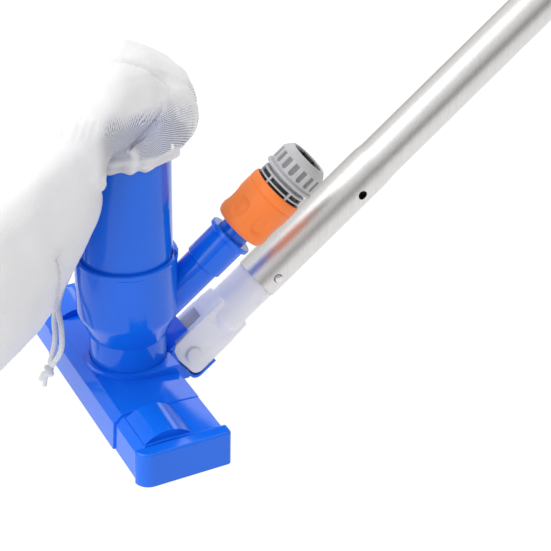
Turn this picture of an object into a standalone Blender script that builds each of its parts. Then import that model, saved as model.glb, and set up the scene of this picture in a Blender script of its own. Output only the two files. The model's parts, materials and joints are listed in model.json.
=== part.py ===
"""Manual jet vacuum head for a pool, as an assembly of its separate pieces.

Lengths are in millimetres here and are scaled to metres where objects are placed. The head's long side
runs along X, the hose branch and the handle leave towards +Y, and the debris bag hangs towards -Y.
"""
import math

import bmesh
import bpy
from mathutils import Vector

MM = 0.001

# Footprint: the suction tube stands this far in front of the middle of the whole footprint.
TUBE_Y = -85.08

# Head shell: two outlines across the head as (y, z), front to back.
WALL = 2.4
CENTRE_HALF = 54.5
SHELL_HALF = 86.5
CENTRE_OUTLINE = [(-33.7, 0.0), (-32.7, 18.9), (-27.3, 23.5), (-14.0, 24.2), (22.2, 21.6), (23.8, 0.0)]
END_OUTLINE = [(-32.4, 0.0), (-31.4, 17.8), (-26.6, 22.2), (-14.0, 22.9), (21.9, 21.2), (23.5, 0.0)]
ROOF = 19.4
HUMP_AXIS = (-11.4, 7.0)
HUMP_RADIUS = 21.0
HUMP_SPAN = (57.0, 85.0)
CAP_START = 87.2
CAP_END = 96.2
CAP_TOP = 23.0
CAP_FRONT = -33.9
CAP_BACK = 24.1
PLUG_START = 80.0

# Sole plate and its screws.
SOLE_HALF = 79.6
SOLE_THICKNESS = 3.0
MOUTH_HALF = 60.0
MOUTH_Y = (-11.0, 5.0)
SCREW_X = 70.0
SCREW_Y = (-21.0, 13.0)

# Neck, jet housing and suction tube, all turned about the tube's axis.
BOSS_RADIUS = 27.25
BOSS_TOP = 27.2
SOCKET_RADIUS = 24.15
SOCKET_FLOOR = 12.2
NECK_RADIUS = 23.8
NECK_BORE = 21.6
COLLAR_RADIUS = 30.7
COLLAR_BORE = 28.5
COLLAR_TOP = 98.7
LIP_TURN = math.radians(27.0)
LIP_HALF = 2.2
TUBE_RADIUS = 28.1
TUBE_BORE = 26.0
TUBE_BOTTOM = 67.3
TUBE_TOP = 210.0
JET_COUNT = 8
JET_CIRCLE = 24.7

# Hose branch: its plane is turned about the tube, away from the handle's, and its axis passes through the
# shoulder point, given as (distance from the tube's axis, z).
BRANCH_SLOPE = math.radians(45.0)
BRANCH_TURN = math.radians(13.0)
BRANCH_SHOULDER = (47.0, 84.8)
BRANCH_RADIUS = 11.35
BRANCH_BORE = 4.6
SLEEVE_TRAVEL = 4.0
CLAW_TRAVEL = 1.0
CAM_SLOPE = CLAW_TRAVEL / SLEEVE_TRAVEL
CAM_RADIUS = 12.8
CAM_END = 40.3
CLAW_COUNT = 3

# Handle: its axis lies in the plane X = 0 and leaves the pivot pin at this slope.
HANDLE_SLOPE = math.radians(38.0)
PIN = (39.5, 18.8)
PIN_RADIUS = 3.9
EAR_GAP = 5.3
EAR_OUTER = 9.5
EAR_END = -9.0
EAR_SIDE = 15.0
SHAFT_RADIUS = 14.0
POLE_START = 60.7
POLE_LENGTH = 299.7
SOCKET_LENGTH = 101.0
TAPER_LENGTH = 6.0
POLE_RADIUS = 14.0
POLE_SOCKET_RADIUS = 14.7
POLE_WALL = 0.65
LOWER_BUTTON = 71.1
SPARE_HOLE = 144.9
UPPER_BUTTON = 340.0
BUTTON_RADIUS = 2.7

# Debris bag and drawstring.
BAG_WALL = 0.8
CORD_DIAMETER = 3.5
KNOT = (-8.6, -49.0, 21.5)

BLUE = ((0.010, 0.120, 0.680), 0.18, 0.0)
ORANGE = ((0.950, 0.200, 0.040), 0.35, 0.0)
GREY = ((0.500, 0.510, 0.520), 0.42, 0.0)
DARK = ((0.015, 0.015, 0.017), 0.50, 0.0)
MILKY = ((0.780, 0.800, 0.830), 0.30, 0.0)
ALUMINIUM = ((0.720, 0.710, 0.700), 0.35, 1.0)
STEEL = ((0.600, 0.600, 0.620), 0.30, 1.0)
RUBBER = ((0.020, 0.020, 0.022), 0.70, 0.0)
CLOTH = ((0.860, 0.870, 0.880), 0.90, 0.0)

FINE_STEPS = 40
ROUND_STEPS = 28
SMALL_STEPS = 14
PIN_STEPS = 24

SIDE_TURN = (math.pi / 2, 0.0, math.pi / 2)
ACROSS_TURN = (0.0, math.pi / 2, 0.0)


def clear_scene():
    """Empty the file so that the script can run again."""
    for old in list(bpy.data.objects):
        bpy.data.objects.remove(old)
    for old in list(bpy.data.collections):
        bpy.data.collections.remove(old)


def new_collection(name):
    """Make a collection in the scene."""
    collection = bpy.data.collections.new(name)
    bpy.context.scene.collection.children.link(collection)
    return collection


def make_material(name, finish):
    """One Principled material for one sub-part."""
    colour, roughness, metallic = finish
    material = bpy.data.materials.new(name)
    material.use_nodes = True
    shader = material.node_tree.nodes["Principled BSDF"]
    shader.inputs["Base Color"].default_value = (*colour, 1.0)
    shader.inputs["Roughness"].default_value = roughness
    shader.inputs["Metallic"].default_value = metallic
    return material


def make_empty(name, location, lean=0.0, turn=0.0):
    """A frame for pieces to sit in: millimetres from the tube's foot, leaned back and then turned about Z."""
    empty = bpy.data.objects.new(name, None)
    PARTS.objects.link(empty)
    empty.location = [value * MM for value in (location[0], location[1] + TUBE_Y, location[2])]
    empty.rotation_euler = (lean, 0.0, turn)
    return empty


def link(obj, parent, finish):
    """Put an object among the parts, or among the cutters when it has no finish."""
    if finish is None:
        CUTTERS.objects.link(obj)
        obj.hide_render = True
        obj.display_type = "WIRE"
    else:
        PARTS.objects.link(obj)
        obj.data.materials.append(make_material(obj.name + "_finish", finish))
    obj.parent = parent
    return obj


def from_bmesh(name, mesh_data, parent, finish):
    """Turn a bmesh into a linked object."""
    mesh = bpy.data.meshes.new(name)
    bmesh.ops.recalc_face_normals(mesh_data, faces=mesh_data.faces)
    mesh_data.to_mesh(mesh)
    mesh_data.free()
    return link(bpy.data.objects.new(name, mesh), parent, finish)


def box(name, low, high, parent, finish=None):
    """A block between two corners."""
    mesh_data = bmesh.new()
    bmesh.ops.create_cube(mesh_data, size=1.0)
    size = Vector(high) - Vector(low)
    middle = (Vector(high) + Vector(low)) / 2
    bmesh.ops.scale(mesh_data, vec=size * MM, verts=mesh_data.verts)
    bmesh.ops.translate(mesh_data, vec=middle * MM, verts=mesh_data.verts)
    return from_bmesh(name, mesh_data, parent, finish)


def rod(name, radius, start, length, parent, finish=None, turn=(0.0, 0.0, 0.0), sides=16):
    """A straight cylinder from its start point, along local Z after the turn."""
    mesh_data = bmesh.new()
    bmesh.ops.create_cone(mesh_data, cap_ends=True, segments=sides, radius1=radius * MM,
                          radius2=radius * MM, depth=length * MM)
    bmesh.ops.translate(mesh_data, vec=(0.0, 0.0, length * MM / 2), verts=mesh_data.verts)
    obj = from_bmesh(name, mesh_data, parent, finish)
    obj.location = Vector(start) * MM
    obj.rotation_euler = turn
    return obj


def turned(name, profile, parent, finish=None, steps=ROUND_STEPS, closed=True, turn=(0.0, 0.0, 0.0),
           at=(0.0, 0.0, 0.0)):
    """A turned piece from (radius, height) points that run down its outer side.

    A closed profile makes a ring or a tube, and an open one starts and ends on the axis.
    """
    mesh = bpy.data.meshes.new(name)
    count = len(profile)
    edges = [(i, i + 1) for i in range(count - 1)]
    if closed:
        edges.append((count - 1, 0))
    mesh.from_pydata([(radius * MM, 0.0, height * MM) for radius, height in profile], edges, [])
    obj = link(bpy.data.objects.new(name, mesh), parent, finish)
    obj.location = Vector(at) * MM
    obj.rotation_euler = turn
    screw = obj.modifiers.new("Turn", "SCREW")
    screw.steps = steps
    screw.render_steps = steps
    screw.use_merge_vertices = True
    screw.merge_threshold = 0.00001
    screw.use_normal_calculate = False
    screw.use_smooth_shade = True
    return obj


def ring(name, middle, thickness, height, parent, finish):
    """A round seal with a circular section."""
    sides = 6
    angles = [math.pi / 2 - 2 * math.pi * i / sides for i in range(sides)]
    profile = [(middle + thickness / 2 * math.cos(a), height + thickness / 2 * math.sin(a)) for a in angles]
    return turned(name, profile, parent, finish)


def plate(name, outline, low, high, parent, finish=None, turn=(0.0, 0.0, 0.0)):
    """A flat outline made into a solid that spans low to high along its local Z."""
    curve = bpy.data.curves.new(name, "CURVE")
    curve.dimensions = "2D"
    curve.fill_mode = "BOTH"
    curve.extrude = (high - low) / 2 * MM
    spline = curve.splines.new("POLY")
    spline.points.add(len(outline) - 1)
    for point, (u, v) in zip(spline.points, outline):
        point.co = (u * MM, v * MM, 0.0, 1.0)
    spline.use_cyclic_u = True
    guide = bpy.data.objects.new(name + "_outline", curve)
    CUTTERS.objects.link(guide)
    depsgraph = bpy.context.evaluated_depsgraph_get()
    mesh = bpy.data.meshes.new_from_object(guide.evaluated_get(depsgraph))
    bpy.data.objects.remove(guide)
    mesh_data = bmesh.new()
    mesh_data.from_mesh(mesh)
    bpy.data.meshes.remove(mesh)
    bmesh.ops.remove_doubles(mesh_data, verts=mesh_data.verts, dist=0.000001)
    bmesh.ops.dissolve_limit(mesh_data, angle_limit=0.01, verts=mesh_data.verts, edges=mesh_data.edges)
    bmesh.ops.translate(mesh_data, vec=(0.0, 0.0, (low + high) / 2 * MM), verts=mesh_data.verts)
    obj = from_bmesh(name, mesh_data, parent, finish)
    obj.rotation_euler = turn
    return obj


def side_plate(name, outline, low, high, parent, finish=None):
    """A solid with a (y, z) outline that spans low to high along X."""
    return plate(name, outline, low, high, parent, finish, SIDE_TURN)


def arc(centre, radius, start, end, count):
    """Points along an arc, with its angles in degrees."""
    angles = [math.radians(start + (end - start) * i / (count - 1)) for i in range(count)]
    return [(centre[0] + radius * math.cos(a), centre[1] + radius * math.sin(a)) for a in angles]


def boolean(obj, cutter, operation):
    """Join a piece to an object or cut it away."""
    modifier = obj.modifiers.new(cutter.name, "BOOLEAN")
    modifier.operation = operation
    modifier.solver = "EXACT"
    modifier.object = cutter


def cut(obj, *cutters):
    """Take each cutter out of an object."""
    for cutter in cutters:
        boolean(obj, cutter, "DIFFERENCE")


def join(obj, *pieces):
    """Add each piece to an object."""
    for piece in pieces:
        boolean(obj, piece, "UNION")


def bevel(obj, width, segments=2, limit=40.0):
    """Round the edges that turn by more than the limit."""
    modifier = obj.modifiers.new("Round", "BEVEL")
    modifier.width = width * MM
    modifier.segments = segments
    modifier.limit_method = "ANGLE"
    modifier.angle_limit = math.radians(limit)


def shade(obj):
    """Smooth shading with crisp corners."""
    obj.data.shade_smooth()
    obj.data.set_sharp_from_angle(angle=math.radians(35.0))


def inset(outline, amount, floor, top):
    """The hollow behind an outline's front and back walls, from a floor height to a top height."""
    front = max(y for y, z in outline if y < 0 and z == 0.0) + amount
    back = min(y for y, z in outline if y > 0 and z == 0.0) - amount
    shoulder_y, shoulder_z = outline[2][0] + amount * 0.7, top
    return [(front, floor), (front + 0.9, outline[1][1] - amount * 0.4), (shoulder_y, shoulder_z),
            (back - 1.6, shoulder_z), (back, floor)]


def make_head_shell(head, bracket):
    """Open-bottomed shell with humps, the neck's boss and the handle bracket moulded on."""
    shell = side_plate("head_shell", CENTRE_OUTLINE, -CENTRE_HALF, CENTRE_HALF, head, BLUE)
    bevel(shell, 0.7, 2, 30.0)
    ends = side_plate("shell_ends", END_OUTLINE, -SHELL_HALF, SHELL_HALF, head)
    bevel(ends, 0.5, 2, 50.0)
    join(shell, ends)
    hump = arc(HUMP_AXIS, HUMP_RADIUS, 146, 34, 15) + [(6.0, ROOF - 2.0), (-28.0, ROOF - 2.0)]
    for side, low, high in (("right", *HUMP_SPAN), ("left", -HUMP_SPAN[1], -HUMP_SPAN[0])):
        join(shell, side_plate("hump_" + side, hump, low, high, head))
    cut(shell, side_plate("shell_hollow", inset(END_OUTLINE, WALL, -2.0, ROOF), -99.0, 99.0, head))
    boss_plan = arc((0.0, 0.0), BOSS_RADIUS, 180, 360, 19) + [(BOSS_RADIUS, 22.6), (-BOSS_RADIUS, 22.6)]
    boss_back = plate("boss_back", boss_plan, ROOF - 1.0, BOSS_TOP, head)
    bevel(boss_back, 0.8, 2, 60.0)
    boss = rod("boss", BOSS_RADIUS - 0.05, (0.0, 0.0, SOCKET_FLOOR - 1.7), BOSS_TOP - SOCKET_FLOOR + 1.6, head,
               sides=FINE_STEPS)
    join(shell, boss_back, boss)
    for x in (-SCREW_X, SCREW_X):
        for y in SCREW_Y:
            join(shell, rod(f"screw_boss_{x:.0f}_{y:.0f}", 3.6, (x, y, SOLE_THICKNESS + 0.3),
                            ROOF - SOLE_THICKNESS, head, sides=16))
    cut(shell, side_plate("tray_room", [(16.2, -10.7), (16.2, 30.0), (-17.4, 30.0), (-17.4, -10.7)],
                          -EAR_OUTER - 0.7, EAR_OUTER + 0.7, bracket))
    join(shell, *make_bracket(head, bracket))
    cut(shell,
        turned("neck_socket", [(0.0, 50.0), (SOCKET_RADIUS, 50.0), (SOCKET_RADIUS, SOCKET_FLOOR),
                               (NECK_BORE + 0.2, SOCKET_FLOOR), (NECK_BORE + 0.2, 5.0), (0.0, 5.0)],
               head, steps=FINE_STEPS, closed=False),
        rod("lug_bore", PIN_RADIUS + 0.3, (-12.0, 0.0, 0.0), 24.0, bracket, turn=ACROSS_TURN, sides=16))
    for x in (-SCREW_X, SCREW_X):
        for y in SCREW_Y:
            cut(shell, rod(f"screw_bore_{x:.0f}_{y:.0f}", 1.7, (x, y, 0.0), 13.0, head, sides=12))
    shade(shell)


def make_bracket(head, bracket):
    """The tray round the clevis, the lug between its ears and the webs that carry them."""
    tray_outer = [(-17.1, 6.6), (-17.1, -6.6)] + arc((-12.1, -6.6), 5.0, 180, 270, 6)
    tray_outer += [(18.4, -11.6), (18.2, 8.8), (16.8, 8.8), (17.0, -10.2), (-11.6, -10.2)]
    tray_inner = arc((-11.6, -6.2), 4.0, 270, 180, 5) + [(-15.6, 6.6)]
    tray = side_plate("tray", [(-n, p) for n, p in tray_outer + tray_inner], -EAR_OUTER, EAR_OUTER, bracket)
    root_outline = [(4.0, -11.45), (4.0, -10.35), (17.15, -10.35), (17.15, -2.3), (18.05, -2.3), (18.1, -11.45)]
    root = side_plate("tray_root", [(-n, p) for n, p in root_outline], -11.8, 11.8, bracket)
    cheek_outline = [(-4.4, -11.3), (-4.4, -9.5), (-14.0, -6.5), (-17.3, -2.6), (-17.9, -2.6), (-17.9, -11.3)]
    cheeks = [side_plate("cheek_right", cheek_outline, EAR_OUTER + 0.35, 11.5, bracket),
              side_plate("cheek_left", cheek_outline, -11.5, -EAR_OUTER - 0.35, bracket)]
    lug_outline = [(-8.5, -11.0)] + arc((0.0, 0.0), 8.5, -180, -360, 13) + [(8.5, -11.0)]
    lug = side_plate("lug", [(-n, p) for n, p in lug_outline], 0.3 - EAR_GAP, EAR_GAP - 0.3, bracket)
    web_outline = [(22.4, 1.6), (36.4, 1.6), (38.0, 2.8), (20.8, 25.0), (20.8, 20.9), (22.4, 18.0)]
    webs = [side_plate(f"web_{index}", web_outline, x - 1.0, x + 1.0, head)
            for index, x in enumerate((-8.0, 0.0, 8.0))]
    return [tray, root, *cheeks, lug, *webs]


def make_end_cap(name, side, head):
    """Rounded cap that closes one end of the shell and plugs into it."""
    corner_front = arc((CAP_END - 9.0, CAP_FRONT + 9.0), 9.0, 270, 360, 9)
    corner_back = arc((CAP_END - 2.5, CAP_BACK - 2.5), 2.5, 0, 90, 4)
    plan = [(CAP_START, CAP_FRONT + 0.2), *corner_front, *corner_back, (CAP_START, CAP_BACK)]
    if side < 0:
        plan = [(-x, y) for x, y in reversed(plan)]
    cap = plate(name, plan, -12.0, CAP_TOP, head, BLUE)
    bevel(cap, 3.4, 4, 60.0)
    cut(cap, box(name + "_floor_cut", (-120.0, -60.0, -30.0), (120.0, 60.0, 0.0), head))
    near, far = sorted((side * PLUG_START, side * (CAP_START + 1.5)))
    join(cap, side_plate(name + "_plug", inset(END_OUTLINE, WALL + 0.3, 0.0, ROOF - 0.3), near, far, head))
    near, far = sorted((side * (PLUG_START - 1.0), side * (CAP_END - WALL)))
    cut(cap, side_plate(name + "_hollow", inset(END_OUTLINE, WALL + 2.2, 2.0, ROOF - 2.2), near, far, head))
    shade(cap)


def make_sole(head):
    """Sole plate with the suction mouth, and its four screws."""
    sole = box("sole_plate", (-SOLE_HALF, -29.4, 0.0), (SOLE_HALF, 20.4, SOLE_THICKNESS), head, BLUE)
    mouth_y = sum(MOUTH_Y) / 2
    mouth_r = (MOUTH_Y[1] - MOUTH_Y[0]) / 2
    mouth = arc((MOUTH_HALF - mouth_r, mouth_y), mouth_r, -90, 90, 11)
    mouth += arc((mouth_r - MOUTH_HALF, mouth_y), mouth_r, 90, 270, 11)
    cut(sole, plate("mouth", mouth, -1.0, SOLE_THICKNESS + 1.0, head))
    number = 0
    for x in (-SCREW_X, SCREW_X):
        for y in SCREW_Y:
            number += 1
            cut(sole, turned(f"screw_seat_{number}", [(0.0, 4.0), (1.7, 4.0), (1.7, 1.75), (3.4, 1.75),
                                                      (3.4, -1.0), (0.0, -1.0)],
                             head, steps=SMALL_STEPS, closed=False, at=(x, y, 0.0)))
            turned(f"sole_screw_{number}", [(0.0, 11.5), (0.5, 11.5), (1.4, 10.0), (1.4, 1.45), (3.1, 1.45),
                                            (3.1, 0.6), (2.6, 0.2), (1.2, 0.2), (1.0, 1.0), (0.0, 1.0)],
                   head, STEEL, steps=SMALL_STEPS, closed=False, at=(x, y, 0.0))
    shade(sole)


def make_jet_housing(head, branch, lip):
    """Neck, collar with a lip on its rim, and hose branch moulded as one, hollow for the tube and the jet ring."""
    outside = [(0.0, COLLAR_TOP), (COLLAR_RADIUS, COLLAR_TOP), (31.25, COLLAR_TOP - 0.5),
               (31.25, COLLAR_TOP - 2.5), (COLLAR_RADIUS, COLLAR_TOP - 3.3), (COLLAR_RADIUS, 61.5),
               (30.2, 58.6), (28.9, 56.0), (24.5, 45.4), (24.3, 44.3), (NECK_RADIUS, 43.7),
               (NECK_RADIUS, 20.6), (22.6, 20.6), (22.6, 18.6), (NECK_RADIUS, 18.6),
               (NECK_RADIUS, 13.2), (23.1, SOCKET_FLOOR + 0.3), (0.0, SOCKET_FLOOR + 0.3)]
    housing = turned("jet_housing", outside, head, BLUE, steps=FINE_STEPS, closed=False)
    stub = turned("branch_tube", [(0.0, 15.0), (8.8, 15.0), (9.2, 14.4), (9.2, -0.3), (BRANCH_RADIUS, -0.3),
                                  (BRANCH_RADIUS, -46.0), (0.0, -46.0)], branch, closed=False)
    join(housing, stub)
    lip_outline = [(COLLAR_BORE + 0.4, COLLAR_TOP - 2.0), (31.2, COLLAR_TOP - 2.0), (31.2, COLLAR_TOP + 1.0),
                   (COLLAR_BORE + 0.4, COLLAR_TOP + 3.6)]
    join(housing, side_plate("rim_lip", lip_outline, -LIP_HALF, LIP_HALF, lip))
    inside = [(0.0, 105.0), (COLLAR_BORE, 105.0), (COLLAR_BORE, 57.5), (25.4, 52.0), (NECK_BORE, 52.0),
              (NECK_BORE, 8.0), (0.0, 8.0)]
    cut(housing, turned("housing_bore", inside, head, steps=FINE_STEPS, closed=False),
        rod("branch_bore", BRANCH_BORE, (0.0, 0.0, -36.0), 56.0, branch, sides=16))

    ring_profile = [(28.2, 67.0), (28.2, 64.0), (23.4, 64.0), (23.4, 54.3), (24.9, 54.3), (24.9, 52.3),
                    (21.9, 52.3), (21.9, 66.4), (22.5, 67.0)]
    jet_ring = turned("jet_ring", ring_profile, head, GREY)
    for index in range(JET_COUNT):
        angle = 2 * math.pi * (index + 0.5) / JET_COUNT
        spot = (JET_CIRCLE * math.cos(angle), JET_CIRCLE * math.sin(angle), 62.0)
        cut(jet_ring, rod(f"jet_{index + 1}", 1.1, spot, 8.0, head, sides=12))


def make_tube(head):
    """Suction tube that stands in the collar, with its seal and the neck's seal."""
    profile = [(28.3, TUBE_TOP), (28.8, TUBE_TOP - 0.5), (28.8, 207.2), (TUBE_RADIUS, 206.2),
               (TUBE_RADIUS, 73.2), (26.9, 73.2), (26.9, 71.2), (TUBE_RADIUS, 71.2),
               (TUBE_RADIUS, TUBE_BOTTOM), (TUBE_BORE, TUBE_BOTTOM), (TUBE_BORE, TUBE_TOP)]
    turned("suction_tube", profile, head, BLUE, steps=FINE_STEPS)
    ring("tube_seal", 27.7, 1.0, 72.2, head, RUBBER)
    ring("neck_seal", 23.38, 0.95, 19.6, head, RUBBER)


def make_hose_adaptor(branch):
    """Screw-on adaptor whose nipple takes the quick connector, with its washer and seal."""
    profile = [(7.0, 53.0), (7.4, 52.4), (7.4, 50.0), (6.3, 50.0), (6.3, 48.0), (7.4, 48.0), (7.4, 43.0),
               (9.3, 42.5), (9.6, 42.0), (9.6, 40.3), (8.5, 40.3), (8.5, 35.8), (9.75, 35.8), (9.75, 24.8),
               (14.2, 24.8), (14.6, 24.4), (14.6, 22.1), (14.2, 21.7), (12.6, 21.7), (12.6, 0.4),
               (12.2, 0.0), (9.5, 0.0), (9.5, 17.2), (BRANCH_BORE, 17.2), (BRANCH_BORE, 53.0)]
    turned("hose_adaptor", profile, branch, BLUE)
    turned("adaptor_washer", [(9.1, 16.9), (9.1, 15.3), (5.0, 15.3), (5.0, 16.9)], branch, RUBBER)
    ring("nipple_seal", 7.05, 0.9, 49.0, branch, RUBBER)


def make_connector(branch):
    """Quick connector: body, claws, spring, release sleeve, collet and hose nut."""
    body_profile = [(6.0, 88.0), (6.3, 87.6), (6.3, 82.0), (11.4, 82.0), (11.8, 81.4), (11.8, 72.0),
                    (15.2, 72.0), (15.5, 71.6), (15.5, 63.9), (15.2, 63.5), (12.8, 63.5), (12.8, 60.5),
                    (14.6, 60.5), (14.6, 58.5), (12.4, 58.5), (12.4, 34.0), (11.8, 33.0), (10.1, 33.0),
                    (10.1, 43.6), (7.8, 43.6), (7.8, 54.0), (4.5, 54.0), (4.5, 88.0)]
    body = turned("connector_body", body_profile, branch, GREY)
    for index in range(CLAW_COUNT):
        angle = 2 * math.pi * index / CLAW_COUNT + math.pi / 2
        slot = box(f"claw_slot_{index + 1}", (8.0, -2.6, 35.9), (16.0, 2.6, 40.2), branch)
        slot.rotation_euler = (0.0, 0.0, angle)
        cut(body, slot)
        make_claw(f"locking_claw_{index + 1}", angle, branch)
    windows = 8
    for index in range(windows):
        window = box(f"window_{index + 1}", (14.2, -4.2, 66.2), (17.0, 4.2, 69.6), branch)
        window.rotation_euler = (0.0, 0.0, 2 * math.pi * index / windows)
        cut(body, window)

    mouth = CAM_RADIUS + (CAM_END - 31.0) * CAM_SLOPE
    sleeve_profile = [(16.4, 64.4), (17.1, 63.6), (17.35, 61.0), (17.35, 58.3), (17.05, 58.0),
                      (17.35, 57.7), (17.35, 35.0), (17.0, 32.6), (16.0, 31.0), (mouth, 31.0),
                      (CAM_RADIUS, CAM_END), (CAM_RADIUS, 43.3), (14.9, 43.3), (14.9, 59.2),
                      (15.9, 59.6), (15.9, 64.4)]
    turned("release_sleeve", sleeve_profile, branch, ORANGE)
    make_coil("release_spring", 13.65, 0.45, 44.4, 57.4, 5, branch, STEEL)

    collet = turned("hose_collet", [(10.2, 89.6), (10.2, 82.6), (7.6, 82.6), (7.6, 88.8), (8.2, 89.6)],
                    branch, DARK)
    for index in range(3):
        slit = box(f"collet_slit_{index + 1}", (-12.0, -0.7, 84.6), (12.0, 0.7, 92.0), branch)
        slit.rotation_euler = (0.0, 0.0, math.pi * index / 3)
        cut(collet, slit)
    nut_profile = [(12.4, 90.5), (15.3, 86.8), (16.1, 85.4), (16.1, 76.2), (15.4, 75.8), (15.4, 75.2),
                   (17.0, 74.9), (17.3, 74.5), (17.3, 73.4), (17.0, 73.0), (12.2, 73.0), (12.2, 84.0),
                   (11.0, 84.0), (10.5, 88.0), (10.5, 90.5)]
    turned("hose_nut", nut_profile, branch, GREY)


def make_claw(name, angle, branch):
    """Claw that drops into the nipple's groove; its outer face lies along the sleeve's cam."""
    low, high = 36.2, 39.9
    clearance = 0.5
    outer_low = CAM_RADIUS + (CAM_END - low) * CAM_SLOPE - clearance
    outer_high = CAM_RADIUS + (CAM_END - high) * CAM_SLOPE - clearance
    outline = [(8.9, low + 0.3), (9.3, low), (outer_low, low), (outer_high, high), (9.6, high), (8.9, high - 0.5)]
    claw = plate(name, outline, -2.3, 2.3, branch, STEEL, (math.pi / 2, 0.0, angle))
    shade(claw)


def make_coil(name, radius, wire, low, high, turns, parent, finish):
    """Compression spring with flat end turns, as a wire on a helix."""
    per_turn = 12
    count = per_turn * (turns + 2)
    curve = bpy.data.curves.new(name, "CURVE")
    curve.dimensions = "3D"
    curve.bevel_depth = wire * MM
    curve.bevel_resolution = 0
    curve.use_fill_caps = True
    spline = curve.splines.new("POLY")
    spline.points.add(count)
    pitch_end = 2.4 * wire
    for index, point in enumerate(spline.points):
        wound = index / per_turn
        angle = 2 * math.pi * wound
        if wound < 1.0:
            height = low + pitch_end * wound
        elif wound > turns + 1.0:
            height = high - pitch_end * (turns + 2.0 - wound)
        else:
            height = low + pitch_end + (high - low - 2 * pitch_end) * (wound - 1.0) / turns
        point.co = (radius * math.cos(angle) * MM, radius * math.sin(angle) * MM, height * MM, 1.0)
    return link(bpy.data.objects.new(name, curve), parent, finish)


def make_clevis(handle):
    """Milky adaptor between the head and the pole: two ears, a round shaft and a hollow spigot."""
    lower = arc((EAR_SIDE - 5.5, EAR_END + 5.5), 5.5, 0, -90, 6)
    upper = arc((5.5 - EAR_SIDE, EAR_END + 5.5), 5.5, -90, -180, 6)
    outline = lower + upper + [(-EAR_SIDE, 23.0), (-13.6, 37.0), (13.6, 37.0), (EAR_SIDE, 23.0)]
    clevis = side_plate("clevis_adapter", outline, -EAR_OUTER, EAR_OUTER, handle, MILKY)
    bevel(clevis, 0.6, 2, 60.0)
    shaft = turned("shaft", [(0.0, 95.0), (13.2, 95.0), (13.7, 94.5), (13.7, 60.4), (SHAFT_RADIUS, 60.4),
                             (SHAFT_RADIUS, 29.0), (12.6, 26.4), (9.0, 24.2), (0.0, 22.6)], handle, closed=False)
    join(clevis, shaft)
    slot = side_plate("clevis_slot", [(-25.0, -20.0), (25.0, -20.0), (25.0, 20.3), (-25.0, 20.3)],
                      -EAR_GAP, EAR_GAP, handle)
    cut(clevis, slot,
        rod("ear_bore", PIN_RADIUS + 0.3, (-20.0, 0.0, 0.0), 40.0, handle, turn=ACROSS_TURN, sides=16),
        rod("spigot_bore", 10.5, (0.0, 0.0, 64.0), 40.0, handle),
        rod("adapter_button_hole", BUTTON_RADIUS + 0.4, (5.0, 0.0, LOWER_BUTTON), 20.0, handle,
            turn=ACROSS_TURN, sides=16))
    shade(clevis)

    turned("pivot_pin", [(0.0, 11.6), (3.4, 11.5), (4.8, 11.0), (5.25, 10.3), (5.25, 9.8), (PIN_RADIUS, 9.8),
                         (PIN_RADIUS, -11.8), (3.5, -12.3), (0.0, -12.3)],
           handle, MILKY, steps=PIN_STEPS, closed=False, turn=ACROSS_TURN)
    turned("pin_retainer", [(5.0, -9.8), (5.4, -10.1), (5.4, -11.0), (5.0, -11.4), (4.2, -11.4), (4.2, -9.8)],
           handle, MILKY, steps=PIN_STEPS, turn=ACROSS_TURN)


def make_pole(handle):
    """First pole section, with its wide socket end over the adapter's spigot."""
    end = POLE_START + POLE_LENGTH
    step = POLE_START + SOCKET_LENGTH
    taper = step + TAPER_LENGTH
    profile = [(POLE_RADIUS, end), (POLE_RADIUS, taper), (POLE_SOCKET_RADIUS, step),
               (POLE_SOCKET_RADIUS, POLE_START), (POLE_SOCKET_RADIUS - POLE_WALL, POLE_START),
               (POLE_SOCKET_RADIUS - POLE_WALL, step), (POLE_RADIUS - POLE_WALL, taper),
               (POLE_RADIUS - POLE_WALL, end)]
    pole = turned("pole_section", profile, handle, ALUMINIUM, steps=FINE_STEPS)
    for name, height in (("lower_hole", LOWER_BUTTON), ("spare_hole", SPARE_HOLE), ("upper_hole", UPPER_BUTTON)):
        cut(pole, rod(name, BUTTON_RADIUS + 0.3, (8.0, 0.0, height), 12.0, handle, turn=ACROSS_TURN, sides=16))


def make_button(name, flange_top, stand, height, handle):
    """Snap button on its leaf spring; the button stands out through the hole in the pole."""
    turned(name, [(0.0, stand), (1.5, stand - 0.1), (BUTTON_RADIUS - 0.3, stand - 0.6),
                  (BUTTON_RADIUS, stand - 1.3), (BUTTON_RADIUS, flange_top), (3.6, flange_top),
                  (3.6, flange_top - 1.2), (0.0, flange_top - 1.2)],
           handle, STEEL, steps=SMALL_STEPS, closed=False, turn=ACROSS_TURN, at=(0.0, 0.0, height))
    reach = flange_top - 1.75
    leaf = [(reach, -5.0), (reach, 5.0), (reach - 1.8, 10.5), (reach * 0.45, 15.0), (0.0, 16.5),
            (-reach * 0.55, 15.0), (-reach - 0.2, 9.0), (-reach - 0.5, -4.0)]
    mesh_data = bmesh.new()
    near = [mesh_data.verts.new((x * MM, -3.0 * MM, (height + z) * MM)) for x, z in leaf]
    far = [mesh_data.verts.new((x * MM, 3.0 * MM, (height + z) * MM)) for x, z in leaf]
    for i in range(len(leaf) - 1):
        mesh_data.faces.new((near[i], near[i + 1], far[i + 1], far[i]))
    spring = from_bmesh(name + "_spring", mesh_data, handle, STEEL)
    solidify = spring.modifiers.new("Thickness", "SOLIDIFY")
    solidify.thickness = 0.5 * MM
    solidify.offset = 0.0


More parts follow.
